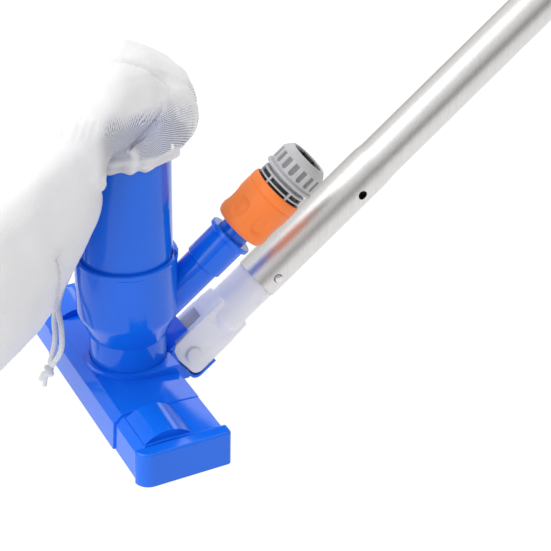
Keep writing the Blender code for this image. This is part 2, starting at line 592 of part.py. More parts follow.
# Bag sections from the hem, over the tube's top and down in front: the inner and the outer point of each
# section as (y, z), its half-width along X, how boxy it is (2 is an ellipse), and how far back the corners
# of its inner side reach round the tube.
BAG_SECTIONS = [
    ((-29.3, 166.0), (29.3, 166.0), 29.3, 2.0, 0.0),
    ((-30.6, 169.5), (33.5, 172.0), 32.0, 2.1, 0.0),
    ((-32.0, 172.0), (39.5, 180.0), 35.0, 2.2, 0.0),
    ((-33.0, 173.2), (42.3, 192.0), 36.5, 2.2, 0.0),
    ((-33.7, 174.0), (40.0, 205.0), 37.5, 2.2, 0.0),
    ((-34.3, 174.3), (32.0, 216.5), 38.0, 2.1, 0.0),
    ((-34.9, 174.2), (17.0, 225.5), 38.7, 2.0, 1.0),
    ((-35.4, 173.4), (-3.0, 228.5), 40.5, 2.0, 3.0),
    ((-35.8, 171.0), (-22.0, 222.5), 44.0, 2.4, 7.0),
    ((-36.0, 165.0), (-41.0, 212.5), 46.0, 3.0, 12.0),
    ((-35.5, 156.0), (-60.0, 201.0), 46.0, 3.8, 14.0),
    ((-35.5, 145.0), (-78.0, 188.5), 46.5, 4.2, 12.0),
    ((-37.5, 132.5), (-96.0, 174.5), 46.8, 4.2, 8.0),
    ((-41.0, 119.5), (-113.0, 159.0), 47.0, 4.0, 5.5),
    ((-48.5, 106.0), (-128.0, 142.0), 46.8, 3.8, 5.5),
    ((-58.5, 92.0), (-142.0, 123.0), 46.2, 3.4, 7.0),
    ((-72.0, 77.0), (-153.0, 102.0), 43.5, 3.0, 6.0),
    ((-88.0, 62.0), (-160.0, 81.0), 40.0, 2.8, 3.0),
    ((-103.5, 46.5), (-162.0, 60.0), 35.0, 2.6, 1.0),
    ((-119.0, 32.0), (-159.0, 41.0), 26.0, 2.2, 0.0),
    ((-134.0, 22.0), (-152.0, 27.0), 12.0, 2.0, 0.0),
]
BAG_AROUND = 24


def bag_section(inner, outer, half_width, power, wing):
    """Points round one section of the bag, as a rounded box between its inner and outer points."""
    inner, outer = Vector(inner), Vector(outer)
    middle = (inner + outer) / 2
    half = (outer - inner) / 2
    points = []
    for index in range(BAG_AROUND):
        angle = 2 * math.pi * index / BAG_AROUND
        along = math.copysign(abs(math.cos(angle)) ** (2 / power), math.cos(angle))
        across = math.copysign(abs(math.sin(angle)) ** (2 / power), math.sin(angle))
        side = min(1.0, max(0.0, 3 * abs(across) - 1.7))
        corner = side * side * (3 - 2 * side) * max(0.0, 0.3 - along) / 1.3
        place = middle + half * along
        points.append((half_width * across, place.x + wing * corner, place.y))
    return points


def make_bag(head):
    """Debris bag: one skin from the hem round the tube to its closed foot."""
    mesh_data = bmesh.new()
    loops = []
    for section in BAG_SECTIONS:
        points = bag_section(*section)
        loops.append([mesh_data.verts.new(Vector(point) * MM) for point in points])
    for first, second in zip(loops, loops[1:]):
        for i in range(BAG_AROUND):
            j = (i + 1) % BAG_AROUND
            mesh_data.faces.new((first[i], first[j], second[j], second[i]))
    mesh_data.faces.new(loops[-1])
    bag = from_bmesh("filter_bag", mesh_data, head, CLOTH)
    solidify = bag.modifiers.new("Cloth", "SOLIDIFY")
    solidify.thickness = BAG_WALL * MM
    solidify.offset = -1.0
    shade(bag)


def smooth_route(points, spacing):
    """Points along a Catmull-Rom curve through the given ones, a little apart."""
    rail = [2 * Vector(points[0]) - Vector(points[1]), *map(Vector, points),
            2 * Vector(points[-1]) - Vector(points[-2])]
    result = []
    for a, b, c, d in zip(rail, rail[1:], rail[2:], rail[3:]):
        steps = max(1, round((c - b).length / spacing))
        for step in range(steps):
            t = step / steps
            result.append(0.5 * (2 * b + (c - a) * t + (2 * a - 5 * b + 4 * c - d) * t ** 2
                                 + (3 * b - a - 3 * c + d) * t ** 3))
    result.append(rail[-2])
    return result


# Each strand's route from the bag's casing, down behind the bag and on to the knot.
STRANDS = {
    "drawstring_left": [(-5.0, -32.7, 168.0), (-5.2, -33.6, 150.0), (-4.8, -33.8, 120.0), (-6.0, -33.9, 98.0),
                        (-12.6, -36.6, 77.0), (-12.6, -42.0, 56.5), (-6.8, -44.4, 44.0), (-9.4, -47.6, 26.5)],
    "drawstring_right": [(5.0, -32.7, 168.0), (4.6, -33.6, 150.0), (3.0, -33.8, 120.0), (0.5, -33.9, 98.0),
                         (-7.6, -37.2, 79.0), (-7.8, -40.8, 66.5), (3.0, -43.4, 57.0), (4.6, -45.0, 43.5),
                         (-5.2, -47.8, 27.5)],
}


def make_drawstring(head):
    """Two strands and the knot that ties them, with its short tails."""
    for name, route in STRANDS.items():
        curve = bpy.data.curves.new(name, "CURVE")
        curve.dimensions = "3D"
        curve.bevel_depth = CORD_DIAMETER / 2 * MM
        curve.bevel_resolution = 2
        curve.use_fill_caps = True
        points = smooth_route(route, 2.5 * CORD_DIAMETER)
        spline = curve.splines.new("POLY")
        spline.points.add(len(points) - 1)
        for spot, point in zip(spline.points, points):
            spot.co = (*(point * MM), 1.0)
        link(bpy.data.objects.new(name, curve), head, CLOTH)

    mesh_data = bmesh.new()
    bmesh.ops.create_uvsphere(mesh_data, u_segments=16, v_segments=10, radius=3.9 * MM)
    knot = from_bmesh("drawstring_knot", mesh_data, head, CLOTH)
    knot.location = Vector(KNOT) * MM
    for name, end in (("tail_left", (-20.5, -51.5, 7.5)), ("tail_right", (-13.5, -50.5, 7.5))):
        way = Vector(end) - Vector(KNOT)
        join(knot, rod(name, 1.6, KNOT, way.length, head, turn=way.to_track_quat("Z", "Y").to_euler(), sides=12))
    shade(knot)


clear_scene()
PARTS = new_collection("manual_vacuum_head")
CUTTERS = new_collection("cutters")

head_frame = make_empty("head_frame", (0.0, 0.0, 0.0))
branch_start = (BRANCH_SHOULDER[0] * math.sin(BRANCH_TURN), BRANCH_SHOULDER[0] * math.cos(BRANCH_TURN),
                BRANCH_SHOULDER[1])
branch_axis = make_empty("branch_axis", branch_start, BRANCH_SLOPE - math.pi / 2, -BRANCH_TURN)
lip_frame = make_empty("lip_frame", (0.0, 0.0, 0.0), turn=-LIP_TURN)
bracket_frame = make_empty("bracket_frame", (0.0, *PIN), HANDLE_SLOPE - math.pi / 2)
handle_pivot = make_empty("handle_pivot", (0.0, *PIN), HANDLE_SLOPE - math.pi / 2)

make_head_shell(head_frame, bracket_frame)
make_end_cap("end_cap_right", 1, head_frame)
make_end_cap("end_cap_left", -1, head_frame)
make_sole(head_frame)
make_jet_housing(head_frame, branch_axis, lip_frame)
make_tube(head_frame)
make_hose_adaptor(branch_axis)
make_connector(branch_axis)
make_clevis(handle_pivot)
make_pole(handle_pivot)
make_button("lower_snap_button", 9.6, 16.2, LOWER_BUTTON, handle_pivot)
make_button("upper_snap_button", 12.2, 15.6, UPPER_BUTTON, handle_pivot)
make_bag(head_frame)
make_drawstring(head_frame)
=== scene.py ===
"""Looks of the manual jet vacuum head: studio, materials, cloth bag, drawstring and finely moulded pieces.

Profiles and routes are in millimetres and are scaled to metres where a mesh is made.
"""
import json
import math

import bmesh
import bpy
from mathutils import Matrix, Vector, noise


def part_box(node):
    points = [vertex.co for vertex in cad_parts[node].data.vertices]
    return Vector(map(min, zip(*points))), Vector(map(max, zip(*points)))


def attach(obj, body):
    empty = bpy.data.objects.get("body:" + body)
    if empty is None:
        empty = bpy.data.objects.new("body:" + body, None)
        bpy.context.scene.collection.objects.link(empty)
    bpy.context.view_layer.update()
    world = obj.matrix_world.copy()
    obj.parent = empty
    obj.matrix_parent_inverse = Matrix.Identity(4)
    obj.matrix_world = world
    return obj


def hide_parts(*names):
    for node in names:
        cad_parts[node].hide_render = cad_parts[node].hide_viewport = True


MM = 0.001

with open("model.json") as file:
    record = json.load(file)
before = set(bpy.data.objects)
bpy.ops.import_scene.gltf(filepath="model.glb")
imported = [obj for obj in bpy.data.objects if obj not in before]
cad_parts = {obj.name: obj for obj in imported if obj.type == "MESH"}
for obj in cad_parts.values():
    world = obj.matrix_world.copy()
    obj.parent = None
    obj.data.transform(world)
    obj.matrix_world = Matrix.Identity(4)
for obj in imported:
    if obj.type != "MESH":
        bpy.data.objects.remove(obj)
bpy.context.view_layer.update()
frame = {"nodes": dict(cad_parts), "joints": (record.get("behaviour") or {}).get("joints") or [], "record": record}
NODES = frame["nodes"]
JOINTS = {joint["name"]: joint for joint in frame["joints"]}
MOUNTS = {mount["name"]: mount for mount in frame["record"]["mounts"]}


# ---- Places read from the frame -------------------------------------------------------------------

def middle(node):
    """Centre of a CAD node's box."""
    low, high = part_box(node)
    return (low + high) / 2


def slanted(joint_name, axis):
    """Frame at a joint with a level X and its Z along the slanted axis."""
    z = Vector(axis).normalized()
    x = Vector((z.y, -z.x, 0.0)).normalized()
    turn = Matrix((x, z.cross(x), z)).transposed().to_4x4()
    return Matrix.Translation(Vector(JOINTS[joint_name]["pos_m"])) @ turn


POLE_AXIS = Vector(MOUNTS["pole_end"]["axis"])
TUBE = Matrix.Translation((0.0, middle("suction_tube").y, 0.0))
BRANCH = slanted("connector_swivel", JOINTS["connector_swivel"]["axis"])
HANDLE = slanted("handle_tilt", POLE_AXIS)
TUBE_RADIUS = 28.1
TUBE_TOP = 210.0


# ---- Camera, floor and light ----------------------------------------------------------------------

CAMERA_PLACE = Vector((0.7145, -0.36918, 0.5514))
CAMERA_RIGHT = Vector((0.4617, 0.8867, 0.0239))
CAMERA_UP = Vector((-0.4722, 0.2229, 0.8529))
CAMERA_BACK = Vector((0.7509, -0.4051, 0.5216))
LENS = 98.0
LIGHT_TARGET = Vector((0.0, -0.06, 0.10))
FLOOR_SIZE = 14.0
FLOOR_DROP = 0.0004
FLOOR_GREY = (0.07, 0.07, 0.07, 1.0)
FLOOR_GLOW = 1.0
HORIZON = (0.125, 0.112, 0.104, 1.0)
SKY = (0.90, 0.90, 0.90, 1.0)
SKY_SPAN = (0.08, 0.48)
SKY_TILT = 0.28


def make_camera():
    """Long-lens camera above and to one side of the head."""
    data = bpy.data.cameras.new("camera")
    data.lens = LENS
    data.sensor_width = 36.0
    camera = bpy.data.objects.new("camera", data)
    bpy.context.scene.collection.objects.link(camera)
    turn = Matrix((CAMERA_RIGHT, CAMERA_UP, CAMERA_BACK)).transposed().to_4x4()
    camera.matrix_world = Matrix.Translation(CAMERA_PLACE) @ turn
    bpy.context.scene.camera = camera


def softbox(name, side, height, back, size, power):
    """Area light placed to the camera's side, above the floor and toward the camera, facing the head."""
    toward = Vector((CAMERA_BACK.x, CAMERA_BACK.y, 0.0)).normalized()
    place = LIGHT_TARGET + CAMERA_RIGHT * side + toward * back + Vector((0.0, 0.0, height))
    data = bpy.data.lights.new(name, "AREA")
    data.shape = "RECTANGLE"
    data.size, data.size_y = size
    data.energy = power
    light = bpy.data.objects.new(name, data)
    light.location = place
    light.rotation_euler = (LIGHT_TARGET - place).to_track_quat("-Z", "Y").to_euler()
    bpy.context.scene.collection.objects.link(light)


def make_studio():
    """White floor, a sky that is paler upwards and to the camera's left, and softboxes."""
    bpy.ops.mesh.primitive_plane_add(size=FLOOR_SIZE, location=(0.0, 0.0, -FLOOR_DROP))
    floor = bpy.context.object
    floor.name = "floor"
    material = bpy.data.materials.new("floor_paper")
    material.use_nodes = True
    shader = material.node_tree.nodes["Principled BSDF"]
    shader.inputs["Base Color"].default_value = FLOOR_GREY
    shader.inputs["Roughness"].default_value = 0.9
    shader.inputs["Specular IOR Level"].default_value = 0.0
    shader.inputs["Emission Color"].default_value = (1.0, 1.0, 1.0, 1.0)
    shader.inputs["Emission Strength"].default_value = FLOOR_GLOW
    floor.data.materials.append(material)

    world = bpy.data.worlds.new("studio")
    bpy.context.scene.world = world
    world.use_nodes = True
    nodes, links = world.node_tree.nodes, world.node_tree.links
    background = nodes["Background"]
    place = nodes.new("ShaderNodeTexCoord")
    height = nodes.new("ShaderNodeVectorMath")
    height.operation = "DOT_PRODUCT"
    height.inputs[1].default_value = (*(-SKY_TILT * CAMERA_RIGHT.xy), 1.0)
    ramp = nodes.new("ShaderNodeValToRGB")
    for element, colour, position in zip(ramp.color_ramp.elements, (HORIZON, SKY), SKY_SPAN):
        element.color = colour
        element.position = position
    links.new(place.outputs["Generated"], height.inputs[0])
    links.new(height.outputs["Value"], ramp.inputs["Fac"])
    links.new(ramp.outputs["Color"], background.inputs["Color"])
    background.inputs["Strength"].default_value = 1.0

    softbox("key", -0.85, 1.35, 0.4, (1.2, 1.2), 9.0)
    softbox("left", -1.1, 0.6, 1.0, (1.1, 1.2), 6.5)
    softbox("back", 0.35, 0.65, -1.1, (1.0, 0.8), 4.0)
    bpy.context.scene.view_settings.view_transform = "Standard"


# ---- Materials ------------------------------------------------------------------------------------

def start_material(name, colour, roughness, metallic=0.0):
    """Principled material with its node tree ready for detail."""
    material = bpy.data.materials.new(name)
    material.use_nodes = True
    shader = material.node_tree.nodes["Principled BSDF"]
    shader.inputs["Base Color"].default_value = (*colour, 1.0)
    shader.inputs["Roughness"].default_value = roughness
    shader.inputs["Metallic"].default_value = metallic
    return material


def add_node(material, kind, **settings):
    """New node with its inputs set by name."""
    node = material.node_tree.nodes.new(kind)
    for key, value in settings.items():
        node.inputs[key.replace("_", " ")].default_value = value
    return node


def wire(material, source, output, target, socket):
    """Link two nodes."""
    material.node_tree.links.new(source.outputs[output], target.inputs[socket])


def place_node(material, scale=(1.0, 1.0, 1.0), turn=(0.0, 0.0, 0.0)):
    """Object coordinates, turned and scaled."""
    coordinates = add_node(material, "ShaderNodeTexCoord")
    mapping = add_node(material, "ShaderNodeMapping", Scale=scale, Rotation=turn)
    wire(material, coordinates, "Object", mapping, "Vector")
    return mapping


def vary_roughness(material, mapping, scale, low, high):
    """Roughness that drifts between two values."""
    shader = material.node_tree.nodes["Principled BSDF"]
    cloud = add_node(material, "ShaderNodeTexNoise", Scale=scale, Detail=4.0)
    span = add_node(material, "ShaderNodeMapRange", To_Min=low, To_Max=high)
    wire(material, mapping, "Vector", cloud, "Vector")
    wire(material, cloud, "Fac", span, "Value")
    wire(material, span, "Result", shader, "Roughness")


def vary_colour(material, mapping, scale, first, second):
    """Base colour that drifts between two colours."""
    shader = material.node_tree.nodes["Principled BSDF"]
    cloud = add_node(material, "ShaderNodeTexNoise", Scale=scale, Detail=3.0)
    ramp = add_node(material, "ShaderNodeValToRGB")
    ramp.color_ramp.elements[0].position = 0.35
    ramp.color_ramp.elements[1].position = 0.65
    ramp.color_ramp.elements[0].color = (*first, 1.0)
    ramp.color_ramp.elements[1].color = (*second, 1.0)
    wire(material, mapping, "Vector", cloud, "Vector")
    wire(material, cloud, "Fac", ramp, "Fac")
    wire(material, ramp, "Color", shader, "Base Color")


def add_bump(material, mapping, scale, distance, strength=1.0, detail=2.0):
    """Fine surface relief from noise, with its depth in metres."""
    shader = material.node_tree.nodes["Principled BSDF"]
    grain = add_node(material, "ShaderNodeTexNoise", Scale=scale, Detail=detail)
    bump = add_node(material, "ShaderNodeBump", Strength=strength, Distance=distance)
    wire(material, mapping, "Vector", grain, "Vector")
    wire(material, grain, "Fac", bump, "Height")
    wire(material, bump, "Normal", shader, "Normal")


# Brightness kept at the bottom of a recess by the painted shade.
RECESS_SHADE_VALUE = 0.06


def paint_recess_shade(material):
    """Painted shade: darker colour where a mesh's recess attribute marks a slot or a window, in place of the shade
    inside it.
    """
    shader = material.node_tree.nodes["Principled BSDF"]
    colour = shader.inputs["Base Color"].links[0].from_socket
    mask = add_node(material, "ShaderNodeAttribute")
    mask.attribute_name = "recess"
    shadow = add_node(material, "ShaderNodeHueSaturation", Value=RECESS_SHADE_VALUE)
    wire(material, mask, "Fac", shadow, "Fac")
    material.node_tree.links.new(colour, shadow.inputs["Color"])
    wire(material, shadow, "Color", shader, "Base Color")


def plastic(name, first, second, rough, grain=0.00002, grain_scale=900.0, specular=0.5):
    """Moulded plastic: slight colour drift, painted shade in marked recesses, uneven gloss and a fine skin."""
    material = start_material(name, first, rough[0])
    mapping = place_node(material)
    vary_colour(material, mapping, 18.0, first, second)
    # Painted shade in the recesses that a mesh marks.
    paint_recess_shade(material)
    vary_roughness(material, mapping, 60.0, *rough)
    add_bump(material, mapping, grain_scale, grain)
    material.node_tree.nodes["Principled BSDF"].inputs["Specular IOR Level"].default_value = specular
    return material


def make_milky():
    """Milky nylon that lets some light in."""
    material = plastic("milky_nylon", (0.86, 0.86, 0.90), (0.79, 0.79, 0.84), (0.22, 0.34), 0.00003, 500.0)
    shader = material.node_tree.nodes["Principled BSDF"]
    shader.inputs["Subsurface Weight"].default_value = 0.55
    shader.inputs["Subsurface Radius"].default_value = (0.9, 0.95, 1.0)
    shader.inputs["Subsurface Scale"].default_value = 0.006
    return material


def make_metal(name, first, second, rough, streaks, turn=(0.0, 0.0, 0.0)):
    """Drawn or polished metal with fine lines along its local Z."""
    material = start_material(name, first, rough[0], 1.0)
    mapping = place_node(material, streaks, turn)
    vary_colour(material, mapping, 1.0, first, second)
    vary_roughness(material, mapping, 1.7, *rough)
    add_bump(material, mapping, 2.3, 0.000012, 0.6, 3.0)
    return material


def make_cloth():
    """White filter cloth with a fine diagonal weave that is see-through where the cuff is one layer thick."""
    material = start_material("filter_cloth", (0.77, 0.77, 0.78), 0.9)
    shader = material.node_tree.nodes["Principled BSDF"]
    shader.inputs["Specular IOR Level"].default_value = 0.15
    shader.inputs["Sheen Weight"].default_value = 0.25
    shader.inputs["Sheen Roughness"].default_value = 0.5
    shader.inputs["Subsurface Weight"].default_value = 0.8
    shader.inputs["Subsurface Radius"].default_value = (1.0, 1.0, 1.0)
    shader.inputs["Subsurface Scale"].default_value = 0.03
    uv = add_node(material, "ShaderNodeUVMap")
    uv.uv_map = "weave"
    waves = []
    for angle in (0.95, -0.62):
        mapping = add_node(material, "ShaderNodeMapping", Rotation=(0.0, 0.0, angle))
        wire(material, uv, "UV", mapping, "Vector")
        wave = add_node(material, "ShaderNodeTexWave", Scale=WEAVE_SCALE, Distortion=0.6, Detail=1.0)
        wave.wave_type = "BANDS"
        wire(material, mapping, "Vector", wave, "Vector")
        waves.append(wave)
    threads = add_node(material, "ShaderNodeMath")
    threads.operation = "MAXIMUM"
    wire(material, waves[0], "Fac", threads, 0)
    thin = add_node(material, "ShaderNodeMath")
    thin.operation = "MULTIPLY"
    thin.inputs[1].default_value = 0.55
    wire(material, waves[1], "Fac", thin, 0)
    wire(material, thin, "Value", threads, 1)

    bump = add_node(material, "ShaderNodeBump", Strength=0.35, Distance=0.0002)
    wire(material, threads, "Value", bump, "Height")
    wire(material, bump, "Normal", shader, "Normal")

    cover = add_node(material, "ShaderNodeMapRange", To_Min=0.10, To_Max=1.0)
    wire(material, threads, "Value", cover, "Value")
    mask = add_node(material, "ShaderNodeAttribute")
    mask.attribute_name = "see_through"
    blend = add_node(material, "ShaderNodeMix")
    wire(material, mask, "Fac", blend, "Factor")
    blend.inputs["A"].default_value = 1.0
    wire(material, cover, "Result", blend, "B")
    wire(material, blend, "Result", shader, "Alpha")
    return material


def make_cord_material():
    """Soft white braid."""
    material = start_material("braid", (0.88, 0.88, 0.88), 0.85)
    mapping = place_node(material)
    vary_colour(material, mapping, 900.0, (0.90, 0.90, 0.90), (0.78, 0.79, 0.80))
    add_bump(material, mapping, 1400.0, 0.0003, 0.8, 1.0)
    material.node_tree.nodes["Principled BSDF"].inputs["Specular IOR Level"].default_value = 0.1
    return material


WEAVE_SCALE = 185.0
POLE_TURN = (math.atan2(POLE_AXIS.y, POLE_AXIS.z), 0.0, 0.0)


def make_materials():
    """Every finish, by the record's slot name."""
    return {
        "blue_shell": plastic("blue_gloss", (0.004, 0.140, 0.80), (0.005, 0.152, 0.87), (0.08, 0.14), specular=0.40),
        "orange_sleeve": plastic("orange_satin", (1.0, 0.250, 0.046), (0.98, 0.225, 0.040), (0.42, 0.52),
                                 0.00004, 1500.0, 0.35),
        "grey_plastic": plastic("grey_satin", (0.50, 0.50, 0.51), (0.46, 0.46, 0.47), (0.38, 0.50),
                                0.00004, 1500.0, 0.4),
        "dark_plastic": plastic("dark_satin", (0.012, 0.012, 0.013), (0.020, 0.020, 0.021), (0.40, 0.55),
                                0.00004, 1200.0),
        "milky_plastic": make_milky(),
        "aluminium": make_metal("satin_aluminium", (0.72, 0.71, 0.70), (0.66, 0.65, 0.64), (0.34, 0.44),
                                (900.0, 900.0, 12.0), POLE_TURN),
        "steel": make_metal("satin_steel", (0.80, 0.80, 0.81), (0.72, 0.72, 0.73), (0.34, 0.46),
                            (400.0, 400.0, 400.0)),
        "rubber": plastic("black_rubber", (0.012, 0.012, 0.012), (0.020, 0.020, 0.020), (0.60, 0.80),
                          0.00006, 1600.0, 0.3),
        "mesh_cloth": make_cloth(),
        "cord": make_cord_material(),
    }


# ---- Mesh helpers ---------------------------------------------------------------------------------

def smooth_group():
    """Modifier that shades a mesh smooth and keeps edges that turn by more than 32 degrees crisp."""
    group = bpy.data.node_groups.new("smooth_by_angle", "GeometryNodeTree")
    group.interface.new_socket("Geometry", in_out="INPUT", socket_type="NodeSocketGeometry")
    group.interface.new_socket("Geometry", in_out="OUTPUT", socket_type="NodeSocketGeometry")
    start = group.nodes.new("NodeGroupInput")
    end = group.nodes.new("NodeGroupOutput")
    faces = group.nodes.new("GeometryNodeSetShadeSmooth")
    edges = group.nodes.new("GeometryNodeSetShadeSmooth")
    edges.domain = "EDGE"
    angle = group.nodes.new("GeometryNodeInputMeshEdgeAngle")
    soft = group.nodes.new("FunctionNodeCompare")
    soft.operation = "LESS_EQUAL"
    soft.inputs["B"].default_value = math.radians(32.0)
    group.links.new(start.outputs[0], faces.inputs["Geometry"])
    group.links.new(faces.outputs[0], edges.inputs["Geometry"])
    group.links.new(angle.outputs["Unsigned Angle"], soft.inputs["A"])
    group.links.new(soft.outputs[0], edges.inputs["Shade Smooth"])
    group.links.new(edges.outputs[0], end.inputs[0])
    return group


def smooth_modifiers(obj):
    """Smooth faces, crisp corners and flat faces kept flat."""
    weld = obj.modifiers.new("weld", "WELD")
    weld.merge_threshold = 0.000005
    group = obj.modifiers.new("smooth", "NODES")
    group.node_group = SMOOTH
    weighted = obj.modifiers.new("weighted", "WEIGHTED_NORMAL")
    weighted.keep_sharp = True


def finish_piece(obj, body, slot, nodes=()):
    """Give a new piece its material and its body, and hide the CAD nodes that it stands for."""
    obj.data.materials.clear()
    obj.data.materials.append(MATERIALS[slot])
    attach(obj, body)
    if nodes:
        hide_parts(*nodes)
    return obj


def grid(name, rows, place, closed_rows=False, cap=False):
    """Skin over rows of points, each row a closed loop; closed_rows joins the last row to the first."""
    mesh_data = bmesh.new()
    loops = [[mesh_data.verts.new(Vector(point) * MM) for point in row] for row in rows]
    pairs = list(zip(loops, loops[1:]))
    if closed_rows:
        pairs.append((loops[-1], loops[0]))
    count = len(loops[0])
    for first, second in pairs:
        for i in range(count):
            j = (i + 1) % count
            mesh_data.faces.new((first[i], first[j], second[j], second[i]))
    if cap:
        mesh_data.faces.new(loops[-1])
    bmesh.ops.recalc_face_normals(mesh_data, faces=mesh_data.faces)
    mesh = bpy.data.meshes.new(name)
    mesh_data.to_mesh(mesh)
    mesh_data.free()
    mesh.shade_smooth()
    obj = bpy.data.objects.new(name, mesh)
    obj.matrix_world = place
    bpy.context.scene.collection.objects.link(obj)
    return obj


def rounded(points, radius, steps=3, closed=True):
    """Corners of a profile turned into short arcs."""
    result = []
    count = len(points)
    for index, point in enumerate(points):
        if not closed and index in (0, count - 1):
            result.append(tuple(point))
            continue
        here = Vector(point)
        before = Vector(points[index - 1]) - here
        after = Vector(points[(index + 1) % count]) - here
        reach = min(radius, 0.45 * before.length, 0.45 * after.length)
        start = here + before.normalized() * reach
        end = here + after.normalized() * reach
        for step in range(steps + 1):
            t = step / steps
            result.append(tuple(start * (1 - t) ** 2 + here * 2 * t * (1 - t) + end * t * t))
    return result


def dense(points, spacing, closed=True):
    """Profile with extra points so that none are further apart than the spacing."""
    result = []
    ends = points[1:] + points[:1] if closed else points[1:]
    for a, b in zip(points, ends):
        steps = max(1, math.ceil((Vector(b) - Vector(a)).length / spacing))
        result += [tuple(Vector(a).lerp(Vector(b), step / steps)) for step in range(steps)]
    if not closed:
        result.append(points[-1])
    return result


def turned(name, profile, place, steps=96, relief=None):
    """Ring turned from a closed (radius, height) profile; relief(angle, radius, height) lowers the radius."""
    rows = []
    for radius, height in profile:
        row = []
        for index in range(steps):
            angle = 2 * math.pi * index / steps
            r = radius - (relief(angle, radius, height) if relief else 0.0)
            row.append((r * math.cos(angle), r * math.sin(angle), height))
        rows.append(row)
    return grid(name, rows, place, closed_rows=True)


def smoothstep(low, high, value):
    """0 below low, 1 above high and a smooth rise between."""
    t = min(1.0, max(0.0, (value - low) / (high - low)))
    return t * t * (3 - 2 * t)


# ---- CAD nodes that keep their shape --------------------------------------------------------------

KEPT_FINISH = {
    "blue_shell": ["head_shell", "end_cap_right", "end_cap_left", "sole_plate", "jet_housing", "suction_tube",
                   "hose_adaptor"],
    "grey_plastic": ["jet_ring"],
    "dark_plastic": ["hose_collet"],
    "milky_plastic": ["pivot_pin", "pin_retainer"],
    "aluminium": ["pole_section"],
    "steel": ["sole_screw_1", "sole_screw_2", "sole_screw_3", "sole_screw_4", "release_spring", "locking_claw_1",
              "locking_claw_2", "locking_claw_3", "lower_snap_button", "upper_snap_button",
              "lower_snap_button_spring", "upper_snap_button_spring"],
    "rubber": ["tube_seal", "neck_seal", "adaptor_washer", "nipple_seal"],
}


def finish_kept_nodes():
    """Materials and smooth shading on the CAD nodes that are shown as they are."""
    for slot, names in KEPT_FINISH.items():
        for name in names:
            node = NODES[name]
            node.data.materials.clear()
            node.data.materials.append(MATERIALS[slot])
            smooth_modifiers(node)


# ---- Hose connector -------------------------------------------------------------------------------

SLEEVE_DIMPLES = 6
DIMPLE_HEIGHT = 43.5
NUT_SLOTS = 16
POSTS = 6
WINDOW_DEPTH = 2.4


def sleeve_relief(angle, radius, height):
    """Rounded-square finger grips scooped round the sleeve."""
    if radius < 16.5 or not 34.0 < height < 53.0:
        return 0.0
    pitch = 2 * math.pi / SLEEVE_DIMPLES
    offset = (angle / pitch + 0.5) % 1.0 - 0.5
    across = offset * pitch * radius / 5.6
    along = (height - DIMPLE_HEIGHT) / 6.8
    edge = (abs(across) ** 2.6 + abs(along) ** 2.6) ** 0.5
    return 1.25 * smoothstep(0.0, 0.45, 1.0 - edge)


def make_sleeve():
    """Release sleeve with its grip dimples, the groove near its rim and the cam inside."""
    outside = [(16.4, 64.4), (17.1, 63.6), (17.35, 61.0), (17.35, 58.5), (16.95, 58.2), (16.95, 57.8), (17.35, 57.5),
               (17.35, 36.0), (17.0, 33.2), (15.9, 31.0)]
    inside = [(15.0, 31.0), (12.8, 40.3), (12.8, 43.3), (14.9, 43.3), (14.9, 59.2), (15.9, 59.6), (15.9, 64.4)]
    profile = dense(rounded(outside + inside, 0.5), 0.6)
    sleeve = turned("release_sleeve_moulded", profile, BRANCH, 216, sleeve_relief)
    finish_piece(sleeve, "sleeve", "orange_sleeve", ["release_sleeve"])


def nut_relief(angle, radius, height):
    """Recesses between the nut's grip ribs, round at the flange end and open at the cone."""
    if radius < 13.5 or not 76.4 < height < 89.0:
        return 0.0
    pitch = 2 * math.pi / NUT_SLOTS
    offset = ((angle / pitch) % 1.0 - 0.5) * pitch * 16.1
    half = 1.75
    foot = 79.0
    away = abs(offset) if height > foot else math.hypot(offset, foot - height)
    walls = 1.0 - smoothstep(half - 0.35, half + 0.1, away)
    return 1.15 * walls * (1.0 - smoothstep(85.0, 85.6, height))


def mark_recess_shade(obj, depth):
    """Store how much painted shade each vertex gets in a recess; depth(radius, height) is 1 or more where the painted
    shade is darkest.
    """
    mask = obj.data.attributes.new("recess", "FLOAT", "POINT")
    places = [vertex.co / MM for vertex in obj.data.vertices]
    mask.data.foreach_set("value", [min(1.0, max(0.0, depth(math.hypot(co.x, co.y), co.z))) if
                                    math.hypot(co.x, co.y) > 12.9 else 0.0 for co in places])


def body_relief(angle, radius, height):
    """Windows of the connector's ring in two rows, with thin posts between them."""
    if radius < 13.6 or not 63.4 < height < 70.0:
        return 0.0
    pitch = 2 * math.pi / POSTS
    away = abs((angle / pitch + 0.5) % 1.0 - 0.5) * pitch * 15.5
    upper = smoothstep(66.7, 66.95, height) * (1.0 - smoothstep(68.95, 69.2, height))
    lower = 1.0 - smoothstep(65.6, 65.85, height)
    return WINDOW_DEPTH * smoothstep(0.6, 0.95, away) * max(upper, lower)


def make_body():
    """Connector body: slots for the claws, the windowed ring above the sleeve and the hose tail."""
    profile = [(6.0, 88.0), (6.3, 87.6), (6.3, 82.0), (11.4, 82.0), (11.8, 81.4), (11.8, 70.8), (15.1, 70.8),
               (15.5, 70.4), (15.5, 63.9), (15.2, 63.5), (12.8, 63.5), (12.8, 60.5), (14.6, 60.5), (14.6, 58.5),
               (12.4, 58.5), (12.4, 34.0), (11.8, 33.0), (10.1, 33.0), (10.1, 43.6), (7.8, 43.6), (7.8, 54.0),
               (4.5, 54.0), (4.5, 88.0)]
    body = turned("connector_body_moulded", dense(rounded(profile, 0.2, 2), 0.3), Matrix.Identity(4), 288, body_relief)
    for index in range(3):
        turn = Matrix.Rotation(2 * math.pi * index / 3 + math.pi / 2, 4, "Z")
        apply_boolean(body, block("claw_slot", (8.0, -2.6, 35.9), (16.0, 2.6, 40.2), turn), "DIFFERENCE")
    body.data.shade_smooth()
    body.data.set_sharp_from_angle(angle=math.radians(40.0))
    # Painted shade that deepens into the windows of the ring.
    mark_recess_shade(body, lambda radius, height: (15.2 - radius) / 1.6 if 63.6 < height < 70.3 else 0.0)
    body.matrix_world = BRANCH
    finish_piece(body, "connector", "grey_plastic", ["connector_body"])


